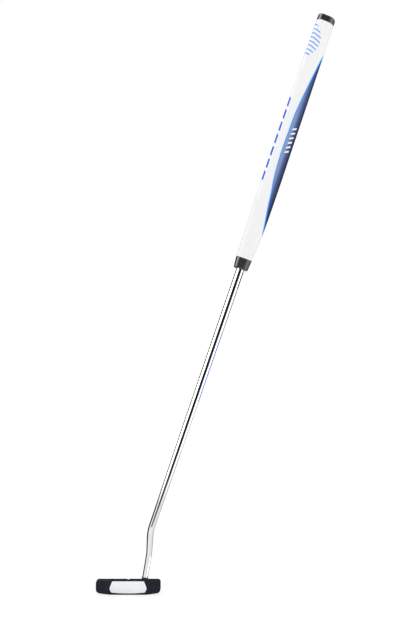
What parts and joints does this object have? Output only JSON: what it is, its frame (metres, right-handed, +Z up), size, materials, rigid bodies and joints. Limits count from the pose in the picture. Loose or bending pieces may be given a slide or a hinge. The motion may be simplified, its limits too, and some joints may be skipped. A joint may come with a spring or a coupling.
{
  "type": "blade putter",
  "caption": "Counterbalanced blade putter: dark cast head with white face insert, double-bend chrome shaft, long white pistol grip with a navy panel and black rubber ends.",
  "frame": {"origin": "Middle of the small flat on the sole, under the middle of the face, on the ground.", "axes": "+Z up from the ground along the club's height; +X from toe to heel, towards the golfer; -Y towards the target, out of the face."},
  "size_m": [0.3779, 0.0473, 0.9164],
  "materials": {
    "head_enamel": "dark blue-grey satin enamel on cast steel",
    "white_paint": "white paint fill",
    "white_urethane": "smooth cast urethane",
    "soft_urethane": "soft cast urethane",
    "adhesive": "adhesive sheet",
    "weight_steel": "turned steel",
    "black_rubber": "moulded black rubber",
    "chrome_plate": "bright chrome plating",
    "tape": "double-sided grip tape",
    "grip_foam": "closed-cell foam",
    "white_polyurethane": "smooth polyurethane skin, white with a navy panel"
  },
  "bodies": {
    "putter": {"head_body": "head_enamel", "sight_fill": "white_paint", "face_insert": "white_urethane", "insert_soft_layer": "soft_urethane", "insert_adhesive": "adhesive", "shaft": "chrome_plate", "grip_tape": "tape", "grip_core": "grip_foam", "grip_skin": "white_polyurethane", "grip_collar": "black_rubber", "butt_cap": "black_rubber", "counterweight": "weight_steel", "counterweight_sleeve": "black_rubber", "counterweight_washer": "weight_steel", "counterweight_screw": "weight_steel"},
    "toe_gasket": {"toe_weight_gasket": "black_rubber"},
    "toe_plug": {"toe_weight": "weight_steel"},
    "heel_gasket": {"heel_weight_gasket": "black_rubber"},
    "heel_plug": {"heel_weight": "weight_steel"}
  },
  "joints": [
    {"name": "toe_weight_travel", "type": "slide", "parent": "putter", "child": "toe_gasket", "axis": [-0.1232, 0, -0.9924], "range_m": [0, 0.006]},
    {"name": "toe_weight_turn", "type": "hinge", "parent": "toe_gasket", "child": "toe_plug", "pos_m": [-0.036, 0.003, 0.00199], "axis": [-0.1232, 0, -0.9924], "range_deg": [0, 1440]},
    {"name": "heel_weight_travel", "type": "slide", "parent": "putter", "child": "heel_gasket", "axis": [0.1232, 0, -0.9924], "range_m": [0, 0.006]},
    {"name": "heel_weight_turn", "type": "hinge", "parent": "heel_gasket", "child": "heel_plug", "pos_m": [0.036, 0.003, 0.00199], "axis": [0.1232, 0, -0.9924], "range_deg": [0, 1440]}
  ],
  "couplings": [
    {"joint": "toe_weight_travel", "follows": "toe_weight_turn", "m_per_rad": 0.00023873},
    {"joint": "heel_weight_travel", "follows": "heel_weight_turn", "m_per_rad": 0.00023873}
  ]
}
